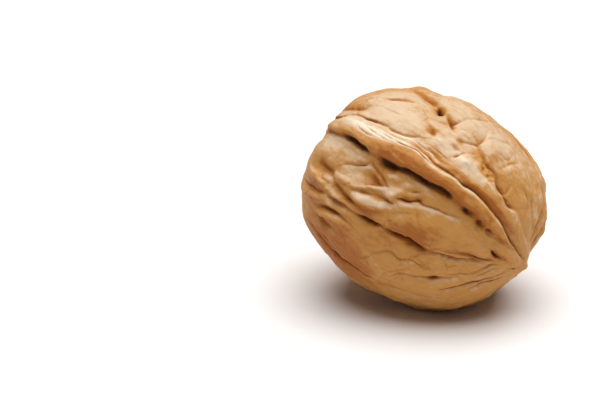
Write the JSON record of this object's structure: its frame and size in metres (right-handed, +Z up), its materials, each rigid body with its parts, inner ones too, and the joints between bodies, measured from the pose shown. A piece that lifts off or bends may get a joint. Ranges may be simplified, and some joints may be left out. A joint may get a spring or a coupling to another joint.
{
  "type": "walnut in shell",
  "caption": "Whole walnut in its shell, lying on its cheek, with a raised seam, long wrinkled furrows and a small nib at its tip.",
  "frame": {"origin": "middle of the small flat spot that the nut rests on", "axes": "+Z up from the surface, +X along the level direction of the tip, which is the nut's longest extent; the nut's own axis dips 23.2 degrees towards the tip"},
  "size_m": [0.0384, 0.0339, 0.0334],
  "materials": {
    "shell": "dry, wrinkled tan shell with dark brown furrows and a paler seam"
  },
  "bodies": {
    "root": {"walnut": "shell"}
  },
  "joints": []
}
